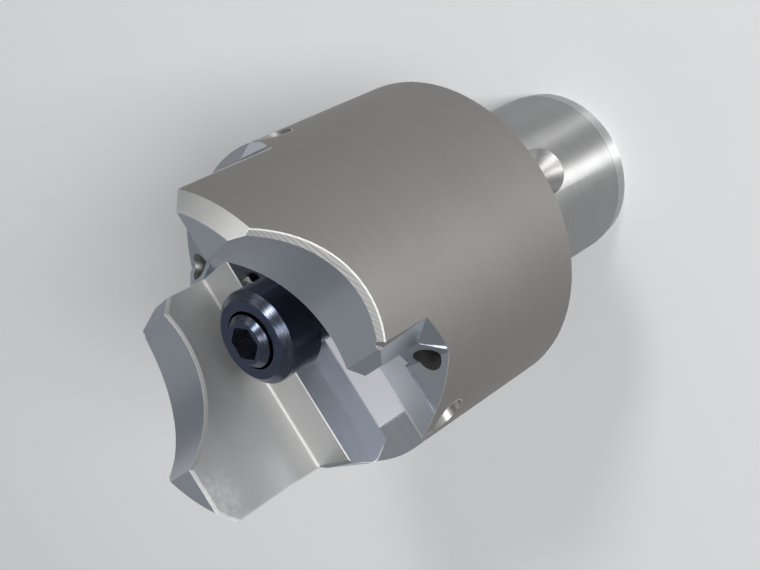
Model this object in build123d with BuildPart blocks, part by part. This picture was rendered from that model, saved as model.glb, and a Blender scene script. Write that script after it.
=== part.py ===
from build123d import *
import math
import os

# Twin boring head. The tool axis is Z, the slot for the two insert holders runs along X.
# The origin is the centre of the pilot's end face and the cutting end points up.

# Pilot and body
pilot_dia = 36.0
pilot_length = 42.0
pilot_end_chamfer = 3.5
pilot_end_chamfer_angle = 8.0
pilot_bore_chamfer = 0.5
body_dia = 64.0
body_length = 67.0
front_chamfer = 2.7
rear_chamfer = 0.3

# Conical recess in the pilot for the radial locking screw
recess_height = 25.0
recess_mouth_dia = 11.4
recess_depth = 4.2
recess_floor_dia = 5.0

# Slot across the front, its two raised pads and the groove between them
slot_width = 36.7
pad_depth = 24.8
relief_depth = 26.9
groove_depth = 30.0
groove_clearance = 0.2
pad_end_x = 28.3
pad_end_angle = 11.3
pad_end_slope = 27.0
pad_end_break = 0.6
pad_edge_break = 0.2

# Scallop that leaves only one end of each lug at full height
scallop_start_x = -13.6
scallop_centre_x = 7.7
scallop_radius = 23.4
lug_tip_x = 16.0
lug_tip_facet = 2.6
scallop_edge_chamfer = 1.1
lead_in_depth = 0.75
lead_in_width = 0.2

# Chip gash beside each lug tip; its floor falls outwards
gash_depth = 27.3
gash_fall = 9.5
gash_inner_y = 15.7
gash_corner_x = 19.4
gash_foot_depth = 24.8
tip_corner_y = 23.7
tip_corner_angle = 28.0

# Coolant: central bore, slanted feeds, two cross bores, two jets and two groove holes
coolant_bore_dia = 10.0
coolant_bore_depth = 31.0
feed_dia = 3.5
feed_start_y = 3.6
cross_bore_dia = 6.5
cross_bore_y = 11.7
cross_bore_depth = 33.0
jet_dia = 5.0
jet_x = 18.5
jet_y = 20.9
jet_depth = 28.0
jet_slope = 48.0
jet_bearing = 14.0
jet_length = 12.0
groove_hole_dia = 3.6
groove_hole_x = 10.5
groove_hole_depth = 27.4
groove_hole_slope = 34.0
groove_hole_length = 7.0

# Clamp collar
flange_dia = 18.0
flange_height = 8.8
flange_chamfer = 1.5
flange_under_chamfer = 0.5
flange_top_depth = 13.0
stem_dia = 13.2
stem_length = 16.2
stem_clearance = 0.03
collar_counterbore_clearance = 0.5

# Clamp screw
screw_dia = 8.0
screw_length = 40.0
screw_bore_clearance = 0.2
thread_clearance = 0.05
thread_depth = 14.5
screw_tip_chamfer = 1.0
screw_head_dia = 10.2
screw_head_height = 8.0
screw_head_chamfer = 1.1
screw_head_proud = 1.5
hex_flats = 6.0
hex_depth = 4.5

# Lift spring under the collar's stem
spring_wire_width = 1.4
spring_wire_height = 1.2
spring_mean_dia = 10.4
spring_height = 10.0
spring_turns = 4.0

# Heights worked out from the sizes above
front_z = pilot_length + body_length
body_radius = body_dia / 2
pilot_radius = pilot_dia / 2
slot_half = slot_width / 2
groove_half = flange_dia / 2 + groove_clearance
pad_z = front_z - pad_depth
relief_z = front_z - relief_depth
groove_z = front_z - groove_depth
gash_z = front_z - gash_depth
foot_z = front_z - gash_foot_depth
cross_bore_z = front_z - cross_bore_depth
flange_top_z = front_z - flange_top_depth
flange_bottom_z = flange_top_z - flange_height
stem_bottom_z = flange_bottom_z - stem_length
spring_seat_z = stem_bottom_z - spring_height
screw_head_top_z = flange_top_z + screw_head_proud
screw_head_seat_z = screw_head_top_z - screw_head_height
screw_tip_z = screw_head_seat_z - screw_length
stem_bore_dia = stem_dia + 2 * stem_clearance
beyond = body_dia


# Scallop and tip facet of a lug, seen along Y
scallop_rise = math.sqrt(scallop_radius**2 - (scallop_start_x - scallop_centre_x) ** 2)
scallop_centre_z = front_z + scallop_rise
facet_start_x = lug_tip_x - lug_tip_facet
facet_start_z = scallop_centre_z - math.sqrt(
    scallop_radius**2 - (facet_start_x - scallop_centre_x) ** 2
)
facet_end_z = facet_start_z - lug_tip_facet
scallop_middle_x = (scallop_start_x + facet_start_x) / 2
scallop_middle_z = scallop_centre_z - math.sqrt(
    scallop_radius**2 - (scallop_middle_x - scallop_centre_x) ** 2
)

with BuildPart() as scallop_cut:
    with BuildSketch(Plane.XZ):
        with BuildLine():
            ThreePointArc(
                (scallop_start_x, front_z),
                (scallop_middle_x, scallop_middle_z),
                (facet_start_x, facet_start_z),
            )
            Polyline(
                (facet_start_x, facet_start_z),
                (lug_tip_x, facet_end_z),
                (beyond, facet_end_z),
                (beyond, front_z + beyond),
                (scallop_start_x, front_z + beyond),
                (scallop_start_x, front_z),
            )
        make_face()
    extrude(amount=-beyond)

# Chip gash: tip wall with its slanted foot, corner of the tip, and the floor that falls outwards
corner_turn = math.radians(tip_corner_angle)
corner_plane = Plane(
    origin=(lug_tip_x, tip_corner_y, 0),
    x_dir=(math.cos(corner_turn), math.sin(corner_turn), 0),
    z_dir=(math.sin(corner_turn), -math.cos(corner_turn), 0),
)
foot_plane = Plane.XZ.offset(-gash_inner_y).shift_origin((lug_tip_x, gash_inner_y, 0))
gash_drop = body_radius * math.tan(math.radians(gash_fall))
with BuildPart() as gash_cut:
    with BuildSketch(foot_plane, corner_plane):
        with BuildLine():
            Polyline(
                (0, front_z + beyond),
                (0, foot_z),
                (body_radius, foot_z - body_radius),
                (beyond, foot_z - body_radius),
                (beyond, front_z + beyond),
                close=True,
            )
        make_face()
    extrude(amount=-body_radius)
    with BuildSketch(Plane.YZ):
        with BuildLine():
            Polyline(
                (gash_inner_y, gash_z),
                (gash_inner_y + body_radius, gash_z - gash_drop),
                (gash_inner_y + body_radius, front_z + beyond),
                (gash_inner_y, front_z + beyond),
                close=True,
            )
        make_face()
    extrude(amount=beyond, mode=Mode.INTERSECT)

# Slot with its two pads, the groove between them and the lowered ends beside the gashes
with BuildPart() as slot_cut:
    with BuildSketch(Plane.YZ):
        with BuildLine():
            Polyline(
                (0, front_z + 1),
                (slot_half, front_z + 1),
                (slot_half, pad_z),
                (groove_half + pad_edge_break, pad_z),
                (groove_half, pad_z - pad_edge_break),
                (groove_half, groove_z),
                (0, groove_z),
                close=True,
            )
        make_face()
        mirror(about=Plane.YZ)
    extrude(amount=beyond, both=True)

with BuildPart() as relief_cut:
    with BuildSketch(Plane.XY.offset(relief_z)):
        with BuildLine():
            Polyline(
                (lug_tip_x, 0),
                (lug_tip_x, slot_half),
                (gash_corner_x, gash_inner_y),
                (beyond, gash_inner_y),
                (beyond, 0),
                close=True,
            )
        make_face()
    extrude(amount=relief_depth + 1)

# Slanted end of the pad opposite the gash
end_turn = math.radians(pad_end_angle)
end_steepness = math.tan(math.radians(pad_end_slope))
end_lean = (groove_depth - pad_depth) * end_steepness
pad_end_plane = Plane(
    origin=(pad_end_x, -groove_half, 0),
    x_dir=(math.cos(end_turn), -math.sin(end_turn), 0),
    z_dir=(-math.sin(end_turn), -math.cos(end_turn), 0),
)
with BuildPart() as pad_end_cut:
    with BuildSketch(pad_end_plane):
        with BuildLine():
            Polyline(
                (-pad_end_break, pad_z),
                (pad_end_break * end_steepness, pad_z - pad_end_break),
                (end_lean, groove_z),
                (beyond, groove_z),
                (beyond, pad_z),
                close=True,
            )
        make_face()
    extrude(amount=slot_half - groove_half, both=True)

# Directions of the slanted coolant holes
jet_turn = math.radians(jet_bearing)
jet_fall = math.radians(jet_slope)
jet_run = Vector(
    math.cos(jet_turn) * math.cos(jet_fall),
    math.sin(jet_turn) * math.cos(jet_fall),
    math.sin(jet_fall),
)
groove_fall = math.radians(groove_hole_slope)
groove_run = Vector(0, -math.cos(groove_fall), math.sin(groove_fall))
feed_start = Vector(0, feed_start_y, coolant_bore_depth - 1)
cross_feed_end = Vector(0, cross_bore_y, cross_bore_z)
jet_mouth = Vector(jet_x, jet_y, front_z - jet_depth)
jet_end = jet_mouth - jet_run * jet_length
groove_mouth = Vector(groove_hole_x, groove_half, front_z - groove_hole_depth)

with BuildPart() as coolant_cut:
    with BuildSketch(Plane.YZ.offset(-beyond)):
        with Locations((cross_bore_y, cross_bore_z)):
            Circle(cross_bore_dia / 2)
    extrude(amount=2 * beyond)
    for feed_end in (cross_feed_end, jet_end):
        with BuildSketch(Plane(origin=feed_start, z_dir=feed_end - feed_start)):
            Circle(feed_dia / 2)
        extrude(amount=(feed_end - feed_start).length)
    with BuildSketch(Plane(origin=jet_mouth + jet_run * jet_dia * 2, z_dir=-jet_run)):
        Circle(jet_dia / 2)
    extrude(amount=jet_length + jet_dia * 2)
    with BuildSketch(Plane(origin=groove_mouth + groove_run * groove_hole_dia, z_dir=-groove_run)):
        Circle(groove_hole_dia / 2)
    extrude(amount=groove_hole_length + groove_hole_dia)

# Head body: pilot and body turned in one piece
recess_slope = (recess_mouth_dia - recess_floor_dia) / 2 / recess_depth
end_chamfer_rise = pilot_end_chamfer * math.tan(math.radians(pilot_end_chamfer_angle))
with BuildPart() as head_body:
    with BuildSketch(Plane.XZ):
        with BuildLine():
            Polyline(
                (0, 0),
                (pilot_radius - end_chamfer_rise, 0),
                (pilot_radius, pilot_end_chamfer),
                (pilot_radius, pilot_length),
                (body_radius - rear_chamfer, pilot_length),
                (body_radius, pilot_length + rear_chamfer),
                (body_radius, front_z),
                (0, front_z),
                close=True,
            )
        make_face()
    revolve(axis=Axis.Z)
    add(slot_cut.part, mode=Mode.SUBTRACT)
    for turn in (0, 180):
        for cut in (scallop_cut, gash_cut, relief_cut, pad_end_cut):
            add(cut.part.rotate(Axis.Z, turn), mode=Mode.SUBTRACT)
    scallops = head_body.faces().filter_by(
        lambda face: face.geom_type == GeomType.CYLINDER and abs(face.radius - scallop_radius) < 0.01
    )
    scallop_rims = [
        edge
        for face in scallops
        for edge in face.edges().filter_by(GeomType.LINE, reverse=True)
        if abs(edge.center().Y) > slot_half + scallop_edge_chamfer
    ]
    chamfer(scallop_rims, scallop_edge_chamfer)
    with BuildSketch(Plane.XZ):
        with BuildLine():
            Polyline(
                (body_radius - front_chamfer - 1, front_z + 1),
                (body_radius + 1, front_z + 1),
                (body_radius + 1, front_z - front_chamfer - 1),
                close=True,
            )
        make_face()
    revolve(axis=Axis.Z, mode=Mode.SUBTRACT)
    for side in (-1, 1):
        lug_face = head_body.faces().filter_by(Axis.Y).sort_by(
            lambda face: abs(face.center().Y - side * slot_half)
        )[0]
        lug_edges = [
            edge
            for edge in lug_face.edges().filter_by(Axis.Z, reverse=True)
            if edge.center().Z > pad_z + 1
        ]
        chamfer(lug_edges, lead_in_depth, lead_in_width, reference=lug_face)
    for turn in (0, 180):
        add(coolant_cut.part.rotate(Axis.Z, turn), mode=Mode.SUBTRACT)
    with BuildSketch(Plane.XY.offset(spring_seat_z)):
        Circle(stem_bore_dia / 2)
    extrude(amount=groove_z - spring_seat_z + 1, mode=Mode.SUBTRACT)
    with BuildSketch(Plane.XY.offset(spring_seat_z - thread_depth)):
        Circle(screw_dia / 2 + thread_clearance)
    extrude(amount=thread_depth + 1, mode=Mode.SUBTRACT)
    with BuildSketch(Plane.XY):
        Circle(coolant_bore_dia / 2)
    extrude(amount=coolant_bore_depth, mode=Mode.SUBTRACT)
    chamfer(head_body.faces().sort_by(Axis.Z)[0].edges().sort_by(SortBy.RADIUS)[0], pilot_bore_chamfer)
    with BuildSketch(Plane.YZ):
        with BuildLine():
            Polyline(
                (pilot_radius + 1, recess_height),
                (pilot_radius + 1, recess_height + recess_mouth_dia / 2 + recess_slope),
                (pilot_radius - recess_depth, recess_height + recess_floor_dia / 2),
                (pilot_radius - recess_depth, recess_height),
                close=True,
            )
        make_face()
    revolve(axis=Axis((0, 0, recess_height), (0, 1, 0)), mode=Mode.SUBTRACT)

# Clamp collar: flange, stem and the counterbore for the screw head
with BuildPart() as clamp_collar:
    with BuildSketch(Plane.XY.offset(stem_bottom_z)):
        Circle(stem_dia / 2)
    extrude(amount=stem_length)
    with BuildSketch(Plane.XY.offset(flange_bottom_z)):
        Circle(flange_dia / 2)
    extrude(amount=flange_height)
    chamfer(clamp_collar.faces().sort_by(Axis.Z)[-1].edges(), flange_chamfer)
    chamfer(clamp_collar.faces().sort_by(Axis.Z)[0].edges(), flange_under_chamfer)
    with Locations((0, 0, flange_top_z)):
        CounterBoreHole(
            radius=screw_dia / 2 + screw_bore_clearance,
            counter_bore_radius=screw_head_dia / 2 + collar_counterbore_clearance,
            counter_bore_depth=flange_top_z - screw_head_seat_z,
        )

# Clamp screw with a hexagon socket
with BuildPart() as clamp_screw:
    with BuildSketch(Plane.XY.offset(screw_tip_z)):
        Circle(screw_dia / 2)
    extrude(amount=screw_length)
    chamfer(clamp_screw.faces().sort_by(Axis.Z)[0].edges(), screw_tip_chamfer)
    with BuildSketch(Plane.XY.offset(screw_head_seat_z)):
        Circle(screw_head_dia / 2)
    extrude(amount=screw_head_height)
    chamfer(clamp_screw.faces().sort_by(Axis.Z)[-1].edges(), screw_head_chamfer)
    with BuildSketch(Plane.XY.offset(screw_head_top_z)):
        RegularPolygon(hex_flats / 2, 6, major_radius=False)
    extrude(amount=-hex_depth, mode=Mode.SUBTRACT)

# Lift spring, ground flat at both ends
spring_pitch = spring_height / spring_turns
with BuildPart() as lift_spring:
    with BuildLine(Plane.XY.offset(spring_seat_z)):
        wire_path = Helix(pitch=spring_pitch, height=spring_height, radius=spring_mean_dia / 2)
    with BuildSketch(Plane(origin=wire_path @ 0, x_dir=(1, 0, 0), z_dir=wire_path % 0)):
        Rectangle(spring_wire_width, spring_wire_height)
    sweep(is_frenet=True)
    split(bisect_by=Plane.XY.offset(spring_seat_z), keep=Keep.TOP)
    split(bisect_by=Plane.XY.offset(stem_bottom_z), keep=Keep.BOTTOM)

head_body.part.label = "head_body"
clamp_collar.part.label = "clamp_collar"
clamp_screw.part.label = "clamp_screw"
lift_spring.part.label = "lift_spring"

os.makedirs("parts", exist_ok=True)
export_step(head_body.part, "parts/head_body.step")
export_step(clamp_collar.part, "parts/clamp_collar.step")
export_step(clamp_screw.part, "parts/clamp_screw.step")
export_step(lift_spring.part, "parts/lift_spring.step")
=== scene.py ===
import math

import bpy
from mathutils import Matrix, Vector


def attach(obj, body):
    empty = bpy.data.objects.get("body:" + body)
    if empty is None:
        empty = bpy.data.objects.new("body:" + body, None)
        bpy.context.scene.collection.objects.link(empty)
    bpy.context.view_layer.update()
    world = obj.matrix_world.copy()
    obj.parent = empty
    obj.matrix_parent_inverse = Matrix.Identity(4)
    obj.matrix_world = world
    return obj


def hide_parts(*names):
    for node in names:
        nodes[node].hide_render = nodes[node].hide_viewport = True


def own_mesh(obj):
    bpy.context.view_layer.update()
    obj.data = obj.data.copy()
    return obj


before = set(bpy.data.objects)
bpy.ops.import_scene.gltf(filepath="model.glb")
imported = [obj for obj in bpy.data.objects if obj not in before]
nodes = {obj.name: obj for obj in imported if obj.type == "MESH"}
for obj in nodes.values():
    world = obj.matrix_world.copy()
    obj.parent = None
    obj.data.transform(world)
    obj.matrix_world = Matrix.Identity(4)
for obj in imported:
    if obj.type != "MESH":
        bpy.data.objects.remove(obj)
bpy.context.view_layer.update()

MM = 0.001

# Sizes of the part that the finishes refer to, in mm; heights are above the pilot's end face
FRONT_Z = 109.0
SHOULDER_Z = 42.0
BODY_RADIUS = 32.0
FRONT_CHAMFER = 2.7
PILOT_RADIUS = 18.0
PILOT_BORE_RADIUS = 5.0
PILOT_TAPER_Z = 3.5
SLOT_HALF = 18.35
GROOVE_HALF = 9.2
PAD_Z = FRONT_Z - 24.8
RELIEF_Z = FRONT_Z - 26.9
GROOVE_Z = FRONT_Z - 30.0
GASH_INNER_Y = 15.7
SCALLOP_X = 7.7
SCALLOP_Z = FRONT_Z + 9.69
SCALLOP_RADIUS = 23.4
LUG_TIP_X = 16.0
COLLAR_RADIUS = 9.0
COLLAR_TOP_Z = FRONT_Z - 13.0
COLLAR_CHAMFER = 1.5
SCREW_HEAD_RADIUS = 5.1
SCREW_TOP_Z = COLLAR_TOP_Z + 1.5
SCREW_CHAMFER = 1.1
SOCKET_RADIUS = 3.9
SOCKET_DEPTH = 6.0

# Every bore in the middle of the slot lies within this radius, in mm
MIDDLE_RADIUS = 13.0

# How far a facet's centre may lie from a flat face that it belongs to, in mm
CLOSE = 0.02


class Field:
    """A number that changes over a surface: one socket, with operators that add Math nodes."""

    def __init__(self, finish, socket):
        self.finish = finish
        self.socket = socket

    def math(self, operation, *operands):
        inputs = dict(enumerate((self, *operands)))
        node = self.finish.node("ShaderNodeMath", {"operation": operation}, inputs)
        return Field(self.finish, node.outputs[0])

    def __add__(self, other):
        return self.math("ADD", other)

    __radd__ = __add__

    def __sub__(self, other):
        return self.math("SUBTRACT", other)

    def __rsub__(self, other):
        return (self * -1.0).math("ADD", other)

    def __mul__(self, other):
        return self.math("MULTIPLY", other)

    __rmul__ = __mul__

    def __abs__(self):
        return self.math("ABSOLUTE")

    def sine(self):
        return self.math("SINE")

    def larger(self, other):
        return self.math("MAXIMUM", other)

    def above(self, edge, softness):
        """0 below edge, 1 above it, with a smooth step between."""
        node = self.finish.node(
            "ShaderNodeMapRange",
            {"interpolation_type": "SMOOTHSTEP"},
            {"Value": self, "From Min": edge - softness, "From Max": edge + softness},
        )
        return Field(self.finish, node.outputs[0])

    def below(self, edge, softness):
        """1 below edge, 0 above it, with a smooth step between."""
        return 1.0 - self.above(edge, softness)

    def near(self, centre, width):
        """1 at centre, falling to 0 at width from it."""
        return abs(self - centre).below(width * 0.5, width * 0.5)


class Finish:
    """A finish built from nodes, all added by one method. Lengths are in mm."""

    def __init__(self, name, metallic=1.0):
        self.material = bpy.data.materials.new(name)
        self.material.use_nodes = True
        self.tree = self.material.node_tree
        self.surface = self.tree.nodes["Principled BSDF"]
        self.set("Metallic", metallic)

    def feed(self, socket, value):
        """Links or sets one socket; a colour is given as red, green and blue."""
        if isinstance(value, Field):
            value = value.socket
        if isinstance(value, bpy.types.NodeSocket):
            self.tree.links.new(value, socket)
        elif socket.type == "RGBA":
            socket.default_value = (*value, 1.0)
        else:
            socket.default_value = value

    def set(self, name, value):
        self.feed(self.surface.inputs[name], value)

    def node(self, kind, settings=None, inputs=None):
        node = self.tree.nodes.new(kind)
        for name, value in (settings or {}).items():
            setattr(node, name, value)
        for key, value in (inputs or {}).items():
            self.feed(node.inputs[key], value)
        return node

    def place(self):
        """The point's own X, Y and Z in mm, moving with the piece."""
        coordinates = self.node("ShaderNodeTexCoord")
        scaled = self.node(
            "ShaderNodeVectorMath",
            {"operation": "SCALE"},
            {"Vector": coordinates.outputs["Object"], "Scale": 1 / MM},
        )
        parts = self.node("ShaderNodeSeparateXYZ", None, {0: scaled.outputs[0]})
        return [Field(self, socket) for socket in parts.outputs]

    def noise(self, point, scale=1.0, detail=3.0):
        """Noise between 0 and 1 at a point given by three numbers or fields."""
        joined = self.node("ShaderNodeCombineXYZ", None, dict(enumerate(point)))
        node = self.node(
            "ShaderNodeTexNoise",
            None,
            {"Vector": joined.outputs[0], "Scale": scale, "Detail": detail},
        )
        return Field(self, node.outputs[0])

    def blend(self, first, second, share):
        """first where share is 0, second where it is 1."""
        node = self.node("ShaderNodeMix", {"data_type": "RGBA"}, {0: share, 6: first, 7: second})
        return node.outputs[2]

    def edge_wear_and_highlight(self, reach, limit=0.3, softness=0.2):
        """1 on outer edges within reach, 0 elsewhere and in corners; finishes lighten these
        edges partly as wear and partly as a painted edge highlight.
        """
        inside = self.node(
            "ShaderNodeAmbientOcclusion",
            {"inside": True, "only_local": True, "samples": 8},
            {"Distance": reach * MM},
        )
        return (1.0 - Field(self, inside.outputs["AO"])).above(limit, softness)

    def brushed_round(self, amount):
        """Turning and grinding round the axis spread the highlight along it."""
        self.set("Anisotropic", amount)
        self.set("Anisotropic Rotation", 0.25)

    def relief(self, height, depth, rounding=0.0):
        """Bump from a height field, on edges rounded by a small radius."""
        inputs = {"Height": height, "Strength": 1.0, "Distance": depth * MM}
        if rounding:
            bevel = self.node("ShaderNodeBevel", {"samples": 6}, {"Radius": rounding * MM})
            inputs["Normal"] = bevel.outputs[0]
        self.set("Normal", self.node("ShaderNodeBump", None, inputs).outputs[0])


def from_axis(x, y):
    """Distance from the tool axis."""
    return (x * x + y * y).math("SQRT")


def around(x, y):
    """Angle round the tool axis, in radians."""
    return y.math("ARCTAN2", x)


def along_lug(x, y):
    """X on the +Y lug and -X on the -Y lug, which is its half-turn copy."""
    side = (y * 1000.0).above(0.0, 1.0) * 2.0 - 1.0
    return x * side


def turned_finish():
    """Satin skin of the body: fine turning lines round the axis."""
    finish = Finish("satin_turned_steel")
    x, y, z = finish.place()
    turn = around(x, y)
    feed_way = z + from_axis(x, y)
    lines = finish.noise((turn * 1.5, feed_way * 5.0, 0.0))
    bands = finish.noise((turn * 0.8, feed_way * 0.7, 3.0), detail=2.0)
    cloud = finish.noise((x, y, z), 0.06)
    grain = lines * 0.5 + bands * 0.25 + cloud * 0.25
    skin = finish.blend((0.265, 0.253, 0.241), (0.385, 0.367, 0.349), grain)
    # Pale outer edges: partly wear, partly a painted edge highlight.
    edge = finish.edge_wear_and_highlight(0.35)
    finish.set("Base Color", finish.blend(skin, (0.78, 0.77, 0.75), edge * 0.8))
    finish.set("Roughness", 0.52 + bands * 0.06 + cloud * 0.08)
    finish.brushed_round(0.55)
    finish.relief(lines + bands * 0.5, 0.006, 0.12)
    return finish


def ground_round_finish():
    """Ground pilot: brighter, with fine streaks round the axis and a painted highlight on the
    lead-in taper.
    """
    finish = Finish("ground_pilot_steel")
    x, y, z = finish.place()
    turn = around(x, y)
    streaks = finish.noise((turn * 2.0, (z + from_axis(x, y)) * 3.2, 0.0), detail=4.0)
    wear = finish.noise((turn * 3.0, z * 0.25, 5.0))
    skin = finish.blend((0.38, 0.38, 0.38), (0.6, 0.595, 0.59), streaks * 0.7 + wear * 0.3)
    taper = z.below(PILOT_TAPER_Z, 0.06)
    border = z.near(PILOT_TAPER_Z, 0.3)
    # Painted highlight: the lead-in taper is lightened as if lit.
    lit = finish.blend(skin, (0.72, 0.72, 0.72), taper * 0.5)
    finish.set("Base Color", finish.blend(lit, (0.2, 0.2, 0.2), border * 0.45))
    finish.set("Roughness", 0.34 + streaks * 0.12 + wear * 0.06)
    finish.brushed_round(1.0)
    finish.relief(streaks, 0.004, 0.1)
    return finish


def milled_finish(name, dark, light, roughness, rounding):
    """Smooth milled facets, lightened along the outer rims as wear and painted highlight, and
    along the relief's lip as a painted highlight.
    """
    finish = Finish(name)
    x, y, z = finish.place()
    cuts = finish.noise((x * 0.4, y * 4.0, z * 0.4), detail=2.0)
    cloud = finish.noise((x, y, z), 0.09)
    skin = finish.blend(dark, light, cuts * 0.5 + cloud * 0.5)
    # Pale outer rims: partly wear, partly a painted edge highlight.
    outer = from_axis(x, y).above(BODY_RADIUS - 1.4, 0.4).larger(z.above(PAD_Z + 1.0, 0.5))
    edge = finish.edge_wear_and_highlight(0.3) * outer
    beside = abs(y) - GROOVE_HALF
    # Painted highlight: a pale line along the relief's lip beside the groove.
    lip = beside.above(0.06, 0.03) * beside.below(0.42, 0.08) * z.near(RELIEF_Z, 0.3)
    wear_and_highlight = (edge * 0.7).larger(lip * 0.85)
    finish.set("Base Color", finish.blend(skin, (0.8, 0.8, 0.79), wear_and_highlight))
    finish.set("Roughness", roughness + cloud * 0.1)
    finish.relief(cuts, 0.003, rounding)
    return finish


def ground_flat_finish():
    """Ground slot faces and pads: light satin, with wear at the lug tips, pale edges that are
    partly wear and partly painted highlight, and a painted highlight where wall meets pad.
    """
    finish = Finish("ground_slot_steel")
    x, y, z = finish.place()
    grain = finish.noise((x * 0.5, y * 5.0, z * 5.0))
    cloud = finish.noise((x, y, z), 0.12, 4.0)
    speckle = finish.noise((x, y, z), 0.9, 4.0)
    skin = finish.blend((0.43, 0.43, 0.428), (0.56, 0.56, 0.555), grain * 0.4 + cloud * 0.6)
    # Pale edges: partly wear, partly a painted edge highlight.
    edge = finish.edge_wear_and_highlight(0.3)
    # Painted highlight: a pale line along the concave corner where the wall meets the pad.
    junction_highlight = abs(y).above(SLOT_HALF - 0.6, 0.2) * z.below(PAD_Z + 0.3, 0.15)
    trailing_end = (along_lug(x, y) * -1.0).above(16.5, 3.0)
    tip = trailing_end * z.above(FRONT_Z - 6.0, 2.5) * speckle.above(0.45, 0.2)
    wear_and_highlight = (edge * 0.7).larger(junction_highlight * 0.55).larger(tip * 0.35)
    finish.set("Base Color", finish.blend(skin, (0.86, 0.86, 0.85), wear_and_highlight))
    finish.set("Roughness", 0.48 + cloud * 0.1)
    finish.relief(grain, 0.003, 0.1)
    return finish


def mirror_floor_finish():
    """Groove floor: near-mirror with fine grinding stripes along the slot."""
    finish = Finish("mirror_ground_steel")
    x, y, _ = finish.place()
    stripes = finish.noise((x * 0.05, y * 3.0, 0.0), detail=4.0)
    finish.set("Base Color", finish.blend((0.38, 0.39, 0.42), (0.54, 0.55, 0.58), stripes))
    finish.set("Roughness", 0.05 + stripes * 0.07)
    finish.relief(stripes, 0.0008)
    return finish


def rim_band_finish():
    """Chamfer along the scallop: satin, with slanted feed marks and a pale line at its rim that
    is partly wear and partly a painted highlight.
    """
    finish = Finish("rim_band_steel")
    x, y, z = finish.place()
    run = along_lug(x, y)
    mark_pitch = 0.5
    mark_phase = (run * 0.42 + z * 0.91) * (2 * math.pi / mark_pitch)
    drift = finish.noise((x, y, z), 0.35, 2.0)
    marks = (mark_phase + drift * 4.0).sine() * 0.5 + 0.5
    upper = run.below(1.5, 4.5)
    skin = finish.blend((0.3, 0.298, 0.292), (0.2, 0.202, 0.206), marks * upper * 0.4)
    # Pale rim line: partly wear, partly a painted edge highlight.
    line = from_axis(x, y).above(BODY_RADIUS - 0.22, 0.08)
    finish.set("Base Color", finish.blend(skin, (0.62, 0.615, 0.6), line))
    finish.set("Roughness", 0.58 + marks * 0.08)
    finish.relief(marks * upper, 0.003, 0.06)
    return finish


def cone_finish():
    """Turned front cone: light satin."""
    finish = Finish("turned_cone_steel")
    x, y, z = finish.place()
    lines = finish.noise((around(x, y) * 1.5, z * 7.0, 0.0))
    cloud = finish.noise((x, y, z), 0.2)
    skin = finish.blend((0.56, 0.555, 0.54), (0.7, 0.695, 0.68), lines * 0.5 + cloud * 0.5)
    # Pale outer edges: partly wear, partly a painted edge highlight.
    edge = finish.edge_wear_and_highlight(0.25)
    finish.set("Base Color", finish.blend(skin, (0.88, 0.88, 0.86), edge * 0.8))
    finish.set("Roughness", 0.48 + cloud * 0.1)
    finish.relief(lines, 0.004, 0.1)
    return finish


def drilled_finish():
    """Drilled and bored walls: duller and uneven."""
    finish = Finish("drilled_steel")
    x, y, z = finish.place()
    marks = finish.noise((x * 2.0, y * 2.0, z * 2.0))
    finish.set("Base Color", finish.blend((0.34, 0.335, 0.33), (0.52, 0.51, 0.5), marks))
    finish.set("Roughness", 0.34 + marks * 0.16)
    finish.relief(marks, 0.01, 0.05)
    return finish


def black_finish(name, outer_radius, top_z, chamfer_size, phase):
    """Glossy black oxide, rubbed bright in streaks along its top chamfer and edges, partly wear
    and partly painted glints.
    """
    finish = Finish(name)
    x, y, z = finish.place()
    turn, radius = around(x, y), from_axis(x, y)
    rings = finish.noise((turn * 0.8, (radius - z) * 6.0, phase), detail=4.0)
    rubbed = finish.noise((turn * 3.0, (radius - z) * 8.0, phase + 4.0), detail=4.0)
    cloud = finish.noise((x, y, z), 0.3)
    skin = finish.blend((0.045, 0.06, 0.1), (0.085, 0.105, 0.155), rings * 0.6 + cloud * 0.4)
    across_chamfer = (
        radius.above(outer_radius - chamfer_size, 0.12) * radius.below(outer_radius - 0.06, 0.04)
    )
    chamfer = across_chamfer * z.above(top_z - chamfer_size - 0.1, 0.1)
    edge = finish.edge_wear_and_highlight(0.18, 0.34, 0.16) * rubbed.above(0.42, 0.14)
    # Painted glints mixed with wear: pale streaks on the chamfer and edges.
    bare_and_glints = (chamfer * rubbed.above(0.52, 0.08) * 0.2).larger(edge * 0.25)
    finish.set("Base Color", finish.blend(skin, (0.62, 0.6, 0.58), bare_and_glints))
    finish.set("Roughness", 0.2 + rings * 0.1 + bare_and_glints * 0.08)
    finish.brushed_round(0.5)
    finish.relief(rings, 0.005, 0.12)
    return finish


def socket_finish():
    """Broached hexagon walls of the screw, painted lighter than the black head in uneven patches
    so that they look lit.
    """
    finish = Finish("broached_socket_steel")
    x, y, z = finish.place()
    broach = finish.noise((x * 2.5, y * 2.5, z * 0.5))
    # Painted light: the walls are lightened as if lit inside the dark socket.
    finish.set("Base Color", finish.blend((0.14, 0.155, 0.19), (0.4, 0.4, 0.41), broach))
    finish.set("Roughness", 0.2 + broach * 0.12)
    finish.relief(broach, 0.003)
    return finish


def spring_finish():
    """Oiled wire of the hidden spring."""
    finish = Finish("oiled_spring_wire")
    x, y, z = finish.place()
    drawn = finish.noise((x, y, z * 6.0), 2.0)
    finish.set("Base Color", finish.blend((0.26, 0.26, 0.27), (0.42, 0.42, 0.43), drawn))
    finish.set("Roughness", 0.24 + drawn * 0.14)
    finish.relief(drawn, 0.006)
    return finish


def radial(centre, normal):
    """A facet's distance from the tool axis, and the share of its normal that points away."""
    radius = math.hypot(centre.x, centre.y)
    outward = (centre.x * normal.x + centre.y * normal.y) / max(radius, 0.001)
    return radius, outward


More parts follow.
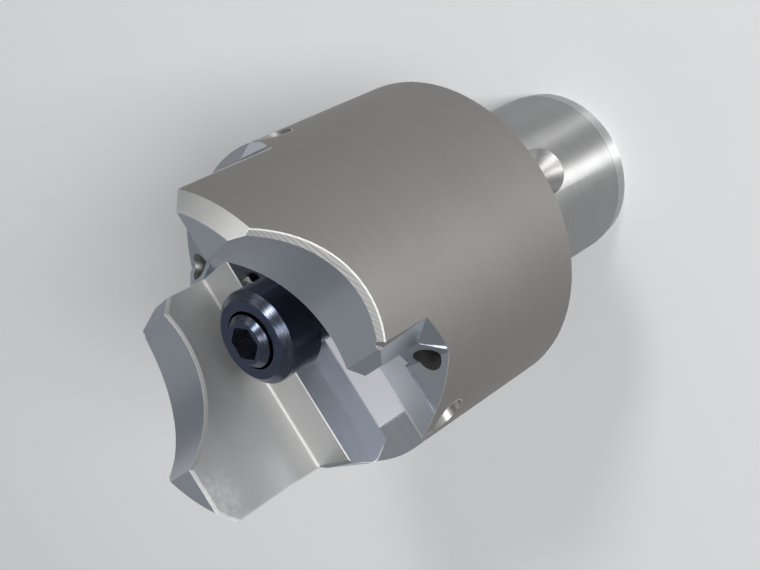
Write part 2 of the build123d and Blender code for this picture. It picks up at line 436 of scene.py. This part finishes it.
def screw_surface(centre, normal):
    """The screw's hexagon walls and their bevelled mouth get the lighter socket finish, painted
    to look lit; the rest is black.
    """
    radius, outward = radial(centre, normal)
    in_socket = radius < SOCKET_RADIUS and centre.z > SCREW_TOP_Z - SOCKET_DEPTH
    return "socket" if in_socket and outward < -0.3 else "black"


def pilot_surface(centre, normal):
    """The pilot's round side and end face are ground, its recess and bore are drilled."""
    radius, outward = radial(centre, normal)
    side = radius > PILOT_RADIUS - 0.6 and outward > 0.9
    end_face = centre.z < CLOSE and radius > PILOT_BORE_RADIUS + 0.2
    return "pilot" if side or end_face else "drilled"


def head_surface(centre, normal):
    """The finish of a facet of the head, from its centre in mm and its normal."""
    x, y, z = centre
    radius, outward = radial(centre, normal)
    across = abs(y)
    run = x * math.copysign(1.0, y)
    faces_y = abs(normal.y)

    # Pilot, body and front
    if z < SHOULDER_Z - CLOSE:
        return pilot_surface(centre, normal)
    if radius > BODY_RADIUS - 0.35 and outward > 0.6 and abs(normal.z) < 0.72:
        return "turned"
    if abs(z - SHOULDER_Z) < CLOSE:
        return "turned"
    if abs(z - FRONT_Z) < CLOSE:
        return "milled"
    chamfer_reach = FRONT_CHAMFER + 0.1
    on_chamfer = z > FRONT_Z - chamfer_reach and radius > BODY_RADIUS - chamfer_reach
    if on_chamfer and outward > 0.5 and 0.6 < normal.z < 0.8:
        return "cone"

    # Floors, pads and walls of the slot
    if abs(z - GROOVE_Z) < CLOSE and normal.z > 0.9:
        return "mirror"
    if abs(z - RELIEF_Z) < CLOSE and normal.z > 0.9:
        return "milled"
    if abs(z - PAD_Z) < 0.3 and normal.z > 0.6 and across < SLOT_HALF + 0.1:
        return "ground"
    if z > PAD_Z + 0.2 and faces_y > 0.9 and across < SLOT_HALF + 0.25:
        return "ground"
    # Groove walls and the small wall of the gash take the darker milled copy: painted shade.
    if GROOVE_Z - 0.1 < z < PAD_Z + 0.1 and faces_y > 0.6 and abs(across - GROOVE_HALF) < 0.25:
        return "wall"
    if PAD_Z - 4.0 < z < PAD_Z and faces_y > 0.9 and abs(across - GASH_INNER_Y) < 0.5:
        return "wall"

    # Scallops of the lugs, their chamfers, and what is left outside the middle bores
    if z > PAD_Z:
        from_scallop = math.hypot(run - SCALLOP_X, z - SCALLOP_Z)
        if abs(from_scallop - SCALLOP_RADIUS) < 0.06:
            return "milled"
    on_rim = z > PAD_Z + 2.0 and across > SLOT_HALF + 1.0 and run < LUG_TIP_X - 0.5
    if on_rim and outward > 0.3 and normal.z > 0.25 and faces_y > 0.2:
        return "rim"
    if z > PAD_Z - 6.0 and radius > MIDDLE_RADIUS and max(abs(normal.x), normal.z) > 0.3:
        return "milled"
    return "drilled"


def dress(node, finishes, choose=None):
    """Puts one finish on a piece, or several that are chosen facet by facet."""
    mesh = node.data
    mesh.materials.clear()
    order = list(finishes)
    for name in order:
        mesh.materials.append(finishes[name].material)
    for facet in mesh.polygons:
        name = choose(facet.center / MM, facet.normal) if choose else order[0]
        facet.material_index = order.index(name)


facet_steel = milled_finish(
    "milled_facets_steel",
    dark=(0.42, 0.455, 0.5),
    light=(0.52, 0.555, 0.6),
    roughness=0.28,
    rounding=0.06,
)
# Painted shade: a darker copy of the milled finish for the groove walls and the small gash wall,
# standing for the shade they lie in.
shaded_wall_steel = milled_finish(
    "groove_walls_painted_shade",
    dark=(0.17, 0.185, 0.21),
    light=(0.24, 0.26, 0.29),
    roughness=0.45,
    rounding=0.0,
)
head_finishes = {
    "turned": turned_finish(),
    "pilot": ground_round_finish(),
    "milled": facet_steel,
    "wall": shaded_wall_steel,
    "ground": ground_flat_finish(),
    "mirror": mirror_floor_finish(),
    "rim": rim_band_finish(),
    "cone": cone_finish(),
    "drilled": drilled_finish(),
}
collar_black = black_finish(
    "black_oxide_collar", COLLAR_RADIUS, COLLAR_TOP_Z, COLLAR_CHAMFER, phase=0.0
)
screw_black = black_finish(
    "black_oxide_screw", SCREW_HEAD_RADIUS, SCREW_TOP_Z, SCREW_CHAMFER, phase=7.0
)
dress(nodes["head_body"], head_finishes, head_surface)
dress(nodes["clamp_collar"], {"black": collar_black})
dress(nodes["clamp_screw"], {"black": screw_black, "socket": socket_finish()}, screw_surface)
dress(nodes["lift_spring"], {"wire": spring_finish()})

# The spring closes up under the collar, so a copy of its wire, with its own mesh and hung on the
# head, stands for it
spring = bpy.data.objects.new("lift_spring_wire", nodes["lift_spring"].data.copy())
bpy.context.scene.collection.objects.link(spring)
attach(spring, "head")
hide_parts("lift_spring")
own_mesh(spring)

# Floor
bpy.ops.mesh.primitive_plane_add(size=4.0)
floor = bpy.context.object
floor.name = "floor"
floor_paint = Finish("pale_floor", metallic=0.0)
floor_paint.set("Base Color", (0.86, 0.865, 0.87))
floor_paint.set("Roughness", 0.85)
floor_paint.set("Specular IOR Level", 0.0)
dress(floor, {"paint": floor_paint})

# World: weak soft light all round; the pale background is the floor's own colour
world = bpy.data.worlds.new("studio")
bpy.context.scene.world = world
world.use_nodes = True
soft_light = world.node_tree.nodes["Background"]
soft_light.inputs["Color"].default_value = (0.93, 0.96, 1.0, 1)
soft_light.inputs["Strength"].default_value = 0.27

LIT_POINT = Vector((0, 0, 80)) * MM


def softbox(name, direction, distance, size, power, spread=180.0):
    """An area lamp aimed at the head; a narrow spread in degrees stands for a grid on it."""
    lamp = bpy.data.lights.new(name, "AREA")
    lamp.shape = "RECTANGLE"
    lamp.size, lamp.size_y = size
    lamp.energy = power
    lamp.spread = math.radians(spread)
    stand = bpy.data.objects.new(name, lamp)
    bpy.context.scene.collection.objects.link(stand)
    place = LIT_POINT + Vector(direction).normalized() * distance
    stand.location = place
    stand.rotation_euler = (LIT_POINT - place).to_track_quat("-Z", "Y").to_euler()


# Lamps, with distance and size in metres and power in watts
softbox("key_softbox", (-0.45, 0.57, 0.69), 1.5, (0.26, 0.26), 5.0)
softbox("fill_softbox", (0.25, 0.8, 0.5), 1.6, (0.42, 0.7), 3.8, spread=80.0)
softbox("back_softbox", (-0.1, -0.75, 0.72), 1.8, (1.4, 1.4), 1.0)
softbox("side_softbox", (-0.81, 0.18, 0.52), 1.5, (0.56, 0.56), 0.6)

# Camera, at the photographed angle
camera_place = Vector((15.63, 206.37, 250.67)) * MM
camera_aim = Vector((4.11, 21.73, 82.52)) * MM
camera_roll = math.radians(-119.56)

camera = bpy.data.cameras.new("camera")
camera.sensor_width = 36.0
camera.lens = 69.0
camera.clip_start = 0.01
tripod = bpy.data.objects.new("camera", camera)
bpy.context.scene.collection.objects.link(tripod)
level = (camera_aim - camera_place).to_track_quat("-Z", "Y")
tripod.matrix_world = (
    Matrix.Translation(camera_place)
    @ level.to_matrix().to_4x4()
    @ Matrix.Rotation(camera_roll, 4, "Z")
)
bpy.context.scene.camera = tripod
bpy.context.scene.view_settings.view_transform = "Standard"
